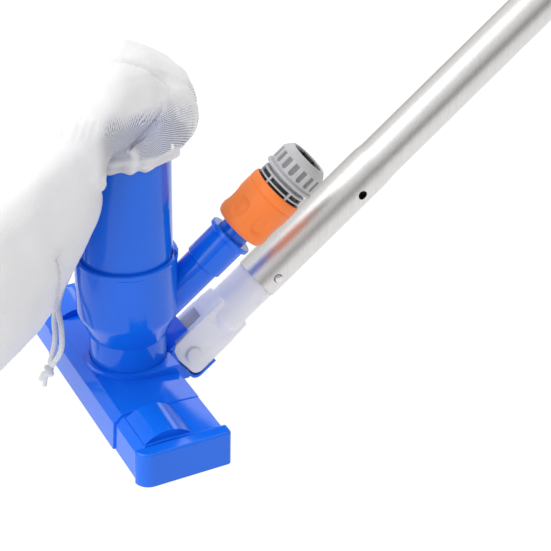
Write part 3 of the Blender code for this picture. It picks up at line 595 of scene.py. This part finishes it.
def make_nut():
    """Hose nut: flange, ribbed grip and smooth cone."""
    profile = [(10.9, 90.3), (12.4, 90.4), (14.6, 87.9), (15.4, 86.6), (16.1, 85.4), (16.1, 76.2), (15.4, 75.8),
               (15.4, 75.2), (17.0, 74.9), (17.3, 74.5), (17.3, 73.4), (17.0, 73.0), (12.2, 73.0), (12.2, 84.0),
               (11.0, 84.0), (10.5, 88.0)]
    nut = turned("hose_nut_ribbed", dense(rounded(profile, 0.35), 0.45), BRANCH, 288, nut_relief)
    # Painted shade, at half strength, in the recesses between the grip ribs.
    mark_recess_shade(nut, lambda radius, height: 0.55 * (16.1 - radius) / 1.15 if 76.6 < height < 85.0 else 0.0)
    finish_piece(nut, "nut", "grey_plastic", ["hose_nut"])


# ---- Clevis adaptor -------------------------------------------------------------------------------

def solid(name, build):
    """Temporary solid filled in by a function that works on a bmesh."""
    mesh_data = bmesh.new()
    build(mesh_data)
    bmesh.ops.recalc_face_normals(mesh_data, faces=mesh_data.faces)
    mesh = bpy.data.meshes.new(name)
    mesh_data.to_mesh(mesh)
    mesh_data.free()
    obj = bpy.data.objects.new(name, mesh)
    bpy.context.scene.collection.objects.link(obj)
    return obj


def prism(name, outline, low, high, along="X"):
    """Solid with a flat outline; along X the outline is (n, p), and a point's local place is (x, -n, p)."""
    def build(mesh_data):
        ends = []
        for x in (low, high):
            points = [(x, -n, p) if along == "X" else (n, x, p) for n, p in outline]
            ends.append([mesh_data.verts.new(Vector(point) * MM) for point in points])
        mesh_data.faces.new(ends[0])
        mesh_data.faces.new(ends[1])
        for i in range(len(outline)):
            j = (i + 1) % len(outline)
            mesh_data.faces.new((ends[0][i], ends[0][j], ends[1][j], ends[1][i]))
    return solid(name, build)


def block(name, low, high, turn):
    """Block between two corners, then turned."""
    def build(mesh_data):
        bmesh.ops.create_cube(mesh_data, size=1.0)
        size = (Vector(high) - Vector(low)) * MM
        bmesh.ops.scale(mesh_data, vec=size, verts=mesh_data.verts)
        bmesh.ops.translate(mesh_data, vec=(Vector(high) + Vector(low)) / 2 * MM, verts=mesh_data.verts)
        bmesh.ops.transform(mesh_data, matrix=turn, verts=mesh_data.verts)
    return solid(name, build)


def cylinder(name, radius, low, high, turn=None, sides=72, top_radius=None):
    """Straight or tapered cylinder between two heights on local Z, then turned."""
    def build(mesh_data):
        bmesh.ops.create_cone(mesh_data, cap_ends=True, segments=sides, radius1=radius * MM,
                              radius2=(top_radius or radius) * MM, depth=(high - low) * MM)
        bmesh.ops.translate(mesh_data, vec=(0.0, 0.0, (high + low) / 2 * MM), verts=mesh_data.verts)
        if turn is not None:
            bmesh.ops.transform(mesh_data, matrix=turn, verts=mesh_data.verts)
    return solid(name, build)


def apply_boolean(obj, cutter, operation):
    """Boolean with a temporary solid, which is then removed."""
    modifier = obj.modifiers.new(cutter.name, "BOOLEAN")
    modifier.operation = operation
    modifier.object = cutter
    bake_modifiers(obj)
    bpy.data.objects.remove(cutter)


def bake_modifiers(obj):
    """Replace a mesh by its evaluated one."""
    depsgraph = bpy.context.evaluated_depsgraph_get()
    mesh = bpy.data.meshes.new_from_object(obj.evaluated_get(depsgraph))
    obj.modifiers.clear()
    obj.data = mesh


def quarter(centre, radius, start, end, count=9):
    """Arc points about a centre, with angles in degrees."""
    angles = [math.radians(start + (end - start) * i / (count - 1)) for i in range(count)]
    return [(centre[0] + radius * math.cos(a), centre[1] + radius * math.sin(a)) for a in angles]


SIDEWAYS = Matrix.Rotation(math.pi / 2, 4, "Y")


def make_clevis():
    """Milky adaptor with soft moulded corners, hollowed top flute and concave blends to its round shaft."""
    outline = (quarter((9.5, -3.5), 5.5, 0, -90) + quarter((-9.5, -3.5), 5.5, -90, -180)
               + [(-15.0, 21.0), (-14.4, 30.0), (-13.6, 37.0), (13.6, 37.0), (14.4, 30.0), (15.0, 21.0)])
    clevis = prism("clevis_adapter_moulded", outline, -9.5, 9.5)
    apply_boolean(clevis, cylinder("shaft", 14.0, 28.0, 60.4), "UNION")
    apply_boolean(clevis, cylinder("shoulder", 8.4, 21.5, 28.0, top_radius=14.0), "UNION")
    apply_boolean(clevis, cylinder("spigot", 13.7, 60.0, 94.8), "UNION")
    apply_boolean(clevis, prism("slot", [(-25, -20), (25, -20), (25, 20.3), (-25, 20.3)], -5.3, 5.3), "DIFFERENCE")
    remesh = clevis.modifiers.new("remesh", "REMESH")
    remesh.mode = "VOXEL"
    remesh.voxel_size = 0.55 * MM
    soften = clevis.modifiers.new("soften", "SMOOTH")
    soften.factor = 0.5
    soften.iterations = 6
    bake_modifiers(clevis)
    apply_boolean(clevis, cylinder("ear_bore", 4.1, -20.0, 20.0, SIDEWAYS), "DIFFERENCE")
    apply_boolean(clevis, cylinder("spigot_bore", 10.5, 64.0, 104.0), "DIFFERENCE")
    button = Matrix.Translation((0.0, 0.0, 71.1 * MM)) @ SIDEWAYS
    apply_boolean(clevis, cylinder("button_hole", 3.1, 5.0, 25.0, button), "DIFFERENCE")
    clevis.data.shade_smooth()
    clevis.data.set_sharp_from_angle(angle=math.radians(40.0))
    clevis.matrix_world = HANDLE
    finish_piece(clevis, "handle", "milky_plastic", ["clevis_adapter"])


# ---- Debris bag -----------------------------------------------------------------------------------

# Sections from the hem, over the tube's top and down in front: the inner and the outer point of each section
# as (y, z) from the tube's foot, its half-width along X, how boxy it is (2 is an ellipse), and how far the
# corners of its inner side reach back round the tube.
BAG_SECTIONS = [
    ((-29.3, 166.0), (29.3, 166.0), 29.3, 2.0, 0.0),
    ((-30.6, 169.5), (33.5, 172.0), 32.0, 2.1, 0.0),
    ((-32.0, 172.0), (39.5, 180.0), 35.0, 2.2, 0.0),
    ((-33.0, 173.2), (42.3, 192.0), 36.5, 2.2, 0.0),
    ((-33.7, 174.0), (40.0, 205.0), 37.5, 2.2, 0.0),
    ((-34.3, 174.3), (32.0, 216.5), 38.0, 2.1, 0.0),
    ((-34.9, 174.2), (17.0, 225.5), 38.7, 2.0, 1.0),
    ((-35.4, 173.4), (-3.0, 228.5), 40.5, 2.0, 3.0),
    ((-35.8, 171.0), (-22.0, 222.5), 44.0, 2.4, 7.0),
    ((-36.0, 165.0), (-41.0, 212.5), 46.0, 3.0, 12.0),
    ((-35.5, 156.0), (-60.0, 201.0), 46.0, 3.8, 14.0),
    ((-35.5, 145.0), (-78.0, 188.5), 46.5, 4.2, 12.0),
    ((-37.5, 132.5), (-96.0, 174.5), 46.8, 4.2, 8.0),
    ((-41.0, 119.5), (-113.0, 159.0), 47.0, 4.0, 5.5),
    ((-48.5, 106.0), (-128.0, 142.0), 46.8, 3.8, 5.5),
    ((-58.5, 92.0), (-142.0, 123.0), 46.2, 3.4, 7.0),
    ((-72.0, 77.0), (-153.0, 102.0), 43.5, 3.0, 6.0),
    ((-88.0, 62.0), (-160.0, 81.0), 40.0, 2.8, 3.0),
    ((-103.5, 46.5), (-162.0, 60.0), 35.0, 2.6, 1.0),
    ((-119.0, 32.0), (-159.0, 41.0), 26.0, 2.2, 0.0),
    ((-134.0, 22.0), (-152.0, 27.0), 12.0, 2.0, 0.0),
]
BAG_AROUND = 96
BAG_STEPS = 4
HEM_RUFFLES = 15
PLEATS = ((0.62, 0.10, 2.6), (1.75, 0.07, 1.6), (2.55, 0.09, 2.0), (-0.75, 0.08, 2.2), (-1.9, 0.09, 1.8))
SKIN_STRETCH = 0.03
LARGEST_MOVE = 7.0
CROWN_LOW = 205.0
CROWN_GAP = 1.6
FOLD_CENTRE = Vector((17.0, 3.0))
FOLD_WAY = (0.46, 0.89)
FOLD_REACH = 21.0
FOLD_DEPTH = 4.0
FOLD_WIDTH = 1.6


def blended(values, t):
    """Catmull-Rom value between the middle two of four."""
    a, b, c, d = values
    return 0.5 * (2 * b + (c - a) * t + (2 * a - 5 * b + 4 * c - d) * t ** 2 + (3 * b - a - 3 * c + d) * t ** 3)


def smooth_rows(rows, steps, cyclic=False):
    """Rows of numbers or points with smoothly blended ones between them."""
    count = len(rows)
    result = []
    for index in range(count if cyclic else count - 1):
        around = [index - 1, index, index + 1, index + 2]
        if cyclic:
            window = [rows[i % count] for i in around]
        else:
            window = [rows[min(count - 1, max(0, i))] for i in around]
        for step in range(steps):
            result.append([blended(column, step / steps) for column in zip(*window)])
    if not cyclic:
        result.append(list(rows[-1]))
    return result


def bag_row(section):
    """Loop of points round the bag at one section, as a rounded box between its inner and outer points."""
    half_width, power, wing = section[4:]
    inner, outer = Vector(section[0:2]), Vector(section[2:4])
    half = (outer - inner) / 2
    points = []
    for index in range(BAG_AROUND):
        angle = 2 * math.pi * index / BAG_AROUND
        along = math.copysign(abs(math.cos(angle)) ** (2 / power), math.cos(angle))
        across = math.copysign(abs(math.sin(angle)) ** (2 / power), math.sin(angle))
        corner = smoothstep(0.567, 0.9, abs(across)) * max(0.0, 0.3 - along) / 1.3
        place = (inner + outer) / 2 + half * along
        points.append(Vector((half_width * across, place.x + wing * corner, place.y)))
    return points


def relax_cloth(rows):
    """Let the skin slacken, puff and wrinkle a little as cloth, and return its rows of points."""
    bag = grid("bag_trial", rows, Matrix.Identity(4), cap=True)
    held = bag.vertex_groups.new(name="held")
    for number in range(len(rows)):
        weight = 1.0 - smoothstep(0.06, 0.34, number / len(rows))
        first = number * BAG_AROUND
        held.add(list(range(first, first + BAG_AROUND)), weight, "REPLACE")
    cloth = bag.modifiers.new("cloth", "CLOTH")
    settings = cloth.settings
    settings.quality = 6
    settings.mass = 0.12
    settings.tension_stiffness = 25.0
    settings.compression_stiffness = 12.0
    settings.shear_stiffness = 6.0
    settings.bending_stiffness = 0.25
    settings.air_damping = 3.0
    settings.shrink_min = -SKIN_STRETCH
    settings.shrink_max = -SKIN_STRETCH
    settings.use_pressure = True
    settings.uniform_pressure_force = 0.7
    settings.vertex_group_mass = "held"
    settings.effector_weights.gravity = 0.25
    cloth.point_cache.frame_start = 1
    cloth.point_cache.frame_end = 24
    for number in range(1, 25):
        bpy.context.scene.frame_set(number)
    depsgraph = bpy.context.evaluated_depsgraph_get()
    moved = [vertex.co / MM for vertex in bag.evaluated_get(depsgraph).data.vertices]
    bpy.data.objects.remove(bag)
    bpy.context.scene.frame_set(1)
    result = []
    for number, row in enumerate(rows):
        line = []
        for index, rest in enumerate(row):
            step = moved[number * BAG_AROUND + index] - rest
            step.length = min(step.length, LARGEST_MOVE)
            point = rest + step
            if rest.z > CROWN_LOW:
                point.z = max(point.z, rest.z)
            if rest.y > -60.0 and rest.z < 172.0:
                point.y = min(point.y, rest.y)
            line.append(point)
        result.append(line)
    return result


def hem_relief(k, angle):
    """Outward and upward shift in mm at section number k: the casing's roll, its ruffles and the pleats above."""
    wobble = angle + 0.10 * math.sin(3 * angle) + 0.05 * math.sin(7 * angle + 1.0)
    ruffle = math.sin(HEM_RUFFLES * wobble)
    lumps = noise.noise(Vector((math.cos(angle) * 4.0, math.sin(angle) * 4.0, k * 1.4)))
    casing = math.exp(-((k - 0.55) / 0.42) ** 2)
    outward = casing * (2.3 + 1.0 * ruffle + 1.6 * lumps)
    outward += 0.9 * ruffle * smoothstep(0.2, 1.0, k) * (1.0 - smoothstep(1.6, 3.2, k))
    pleat = 0.0
    for centre, width, height in PLEATS:
        away = math.remainder(angle - centre - 0.03 * k, 2 * math.pi)
        pleat = max(pleat, height * math.exp(-(away / width) ** 2))
    pleat *= smoothstep(0.6, 1.4, k) * (1.0 - smoothstep(4.2, 6.5, k))
    drop = -1.5 * (0.5 + 0.5 * ruffle) * (1.0 - smoothstep(0.0, 0.6, k)) + 0.8 * lumps * (1.0 - smoothstep(0.0, 1.0, k))
    return outward + pleat, drop, pleat


def crown_fold(point):
    """Depth in mm of the lens-shaped fold across the bag's crown."""
    if point.z < CROWN_LOW:
        return 0.0
    way = Vector(point.xy) - FOLD_CENTRE
    along = (way.x * FOLD_WAY[0] + way.y * FOLD_WAY[1]) / FOLD_REACH
    across = way.x * FOLD_WAY[1] - way.y * FOLD_WAY[0]
    return FOLD_DEPTH * math.exp(-(across / FOLD_WIDTH) ** 2) * max(0.0, 1.0 - along * along)


def make_bag():
    """Filter bag: lofted skin relaxed as cloth, with its gathered casing at the hem."""
    table = [[*inner, *outer, *rest] for inner, outer, *rest in BAG_SECTIONS]
    rows = [bag_row(section) for section in smooth_rows(table, BAG_STEPS)]
    rows = relax_cloth(rows)
    columns = [smooth_rows(column, 2) for column in zip(*rows)]
    fine = [list(row) for row in zip(*columns)]
    fine = [smooth_rows(row, 2, cyclic=True) for row in fine]
    count = len(fine[0])
    shaped = []
    for number, row in enumerate(fine):
        k = number / (2 * BAG_STEPS)
        centre = sum((Vector(point) for point in row), Vector()) / count
        line = []
        for index, point in enumerate(row):
            angle = 2 * math.pi * index / count
            point = Vector(point)
            outward, drop, _ = hem_relief(k, angle)
            slow = noise.noise(Vector((point.x * 0.035, point.y * 0.03, point.z * 0.022)))
            creases = abs(noise.noise(Vector((point.x * 0.06 + 7.0, point.y * 0.07, point.z * 0.03))))
            room = smoothstep(1.0, 5.0, k)
            if point.y > -60.0 and point.z < 170.0:
                room *= smoothstep(0.0, 1.0, (-point.y - 38.0) / 22.0)
            away = (point - centre).normalized()
            point -= away * crown_fold(point)
            point += away * (outward + room * (1.4 * slow - 1.8 * creases)) + Vector((0.0, 0.0, drop))
            if math.hypot(point.x, point.y) < TUBE_RADIUS + 2.0 and point.z > 195.0:
                point.z = max(point.z, TUBE_TOP + CROWN_GAP)
            line.append(point)
        shaped.append(line)
    bag = grid("filter_bag_cloth", shaped, TUBE, cap=True)
    finish_cloth(bag, shaped, count)
    finish_piece(bag, "head", "mesh_cloth", ["filter_bag"])
    return bag


def finish_cloth(bag, rows, count):
    """Weave coordinates in metres along the skin, and where the single-layer cuff is see-through."""
    mesh = bag.data
    girth = [0.0]
    widest = max(rows, key=lambda row: (Vector(row[0]) - Vector(row[count // 2])).length)
    for a, b in zip(widest, widest[1:] + widest[:1]):
        girth.append(girth[-1] + (b - a).length * MM)
    length = [0.0]
    for first, second in zip(rows, rows[1:]):
        length.append(length[-1] + (second[0] - first[0]).length * MM)
    layer = mesh.uv_layers.new(name="weave")
    quads = count * (len(rows) - 1)
    for polygon in list(mesh.polygons)[:quads]:
        index = polygon.index % count
        for loop in polygon.loop_indices:
            vertex = mesh.loops[loop].vertex_index
            row, column = divmod(vertex, count)
            if column == 0 and index == count - 1:
                column = count
            layer.data[loop].uv = (girth[column], length[row])
    mask = mesh.attributes.new("see_through", "FLOAT", "POINT")
    values = []
    for vertex in mesh.vertices:
        point = vertex.co / MM
        row, column = divmod(vertex.index, count)
        k = row / (2 * BAG_STEPS)
        pleat = hem_relief(k, 2 * math.pi * column / count)[2]
        ragged = 3.0 * noise.noise(point * 0.09)
        open_part = smoothstep(173.0, 178.0, point.z + ragged) * (1.0 - smoothstep(197.0, 209.0, point.z + 2 * ragged))
        open_part *= smoothstep(-33.0, -24.0, point.y) * smoothstep(0.8, 1.4, k)
        open_part *= 1.0 - 0.8 * smoothstep(0.4, 1.6, pleat)
        values.append(open_part)
    mask.data.foreach_set("value", values)


# ---- Drawstring -----------------------------------------------------------------------------------

CORD_DIAMETER = 3.5
STRANDS = {
    "drawstring_left": [(-5.0, -32.7, 168.0), (-5.2, -33.6, 150.0), (-4.8, -33.8, 120.0), (-6.0, -33.9, 98.0),
                        (-12.6, -36.6, 77.0), (-12.6, -42.0, 56.5), (-6.8, -44.4, 44.0), (-9.4, -47.6, 26.5)],
    "drawstring_right": [(5.0, -32.7, 168.0), (4.6, -33.6, 150.0), (3.0, -33.8, 120.0), (0.5, -33.9, 98.0),
                         (-7.6, -37.2, 79.0), (-7.8, -40.8, 66.5), (3.0, -43.4, 57.0), (4.6, -45.0, 43.5),
                         (-5.2, -47.8, 27.5)],
}
KNOT = Vector((-8.6, -49.0, 21.5))


def smooth_route(points, spacing):
    """Points along a Catmull-Rom curve through the given ones."""
    rail = [2 * Vector(points[0]) - Vector(points[1]), *map(Vector, points),
            2 * Vector(points[-1]) - Vector(points[-2])]
    result = []
    for window in zip(rail, rail[1:], rail[2:], rail[3:]):
        steps = max(1, round((window[2] - window[1]).length / spacing))
        result += [Vector([blended([p[k] for p in window], step / steps) for k in range(3)])
                   for step in range(steps)]
    result.append(rail[-2])
    return result


def line_curve(name, points, radius, resolution=3, cyclic=False):
    """Round cord along points, as a curve object."""
    curve = bpy.data.curves.new(name, "CURVE")
    curve.dimensions = "3D"
    curve.bevel_depth = radius * MM
    curve.bevel_resolution = resolution
    curve.use_fill_caps = True
    spline = curve.splines.new("POLY")
    spline.points.add(len(points) - 1)
    for spot, point in zip(spline.points, points):
        spot.co = (*(Vector(point) * MM), 1.0)
    spline.use_cyclic_u = cyclic
    obj = bpy.data.objects.new(name, curve)
    obj.matrix_world = TUBE
    bpy.context.scene.collection.objects.link(obj)
    return obj


def trefoil(t, size):
    """Point on a small overhand knot."""
    return Vector((math.sin(t) + 2 * math.sin(2 * t), -math.sin(3 * t) * 1.3,
                   math.cos(t) - 2 * math.cos(2 * t))) * size


def make_drawstring():
    """Two braided strands, and the knot with its tails."""
    turns = [KNOT + trefoil(2 * math.pi * i / 60, 0.95) for i in range(60)]
    parts = [line_curve("knot_turns", turns, 1.45, cyclic=True)]
    for side, lean in (("left", -11.9), ("right", -4.9)):
        tail = [KNOT, KNOT + Vector((lean * 0.55, -1.6, -6.0)), KNOT + Vector((lean, -1.8, -13.2))]
        parts.append(line_curve("tail_" + side, smooth_route(tail, 1.2), 1.5))
    depsgraph = bpy.context.evaluated_depsgraph_get()
    mesh_data = bmesh.new()
    for part in parts:
        mesh = bpy.data.meshes.new_from_object(part.evaluated_get(depsgraph))
        mesh_data.from_mesh(mesh)
        bpy.data.objects.remove(part)
    mesh = bpy.data.meshes.new("drawstring_knot_tied")
    mesh_data.to_mesh(mesh)
    mesh_data.free()
    mesh.shade_smooth()
    knot = bpy.data.objects.new("drawstring_knot_tied", mesh)
    knot.matrix_world = TUBE
    bpy.context.scene.collection.objects.link(knot)
    finish_piece(knot, "head", "cord", ["drawstring_knot"])
    for name, route in STRANDS.items():
        points = smooth_route(route, 1.5)
        strand = line_curve(name + "_braid", points, CORD_DIAMETER / 2)
        finish_piece(strand, "head", "cord", [name])


make_camera()
make_studio()
MATERIALS = make_materials()
SMOOTH = smooth_group()
finish_kept_nodes()
make_sleeve()
make_body()
make_nut()
make_clevis()
make_bag()
make_drawstring()
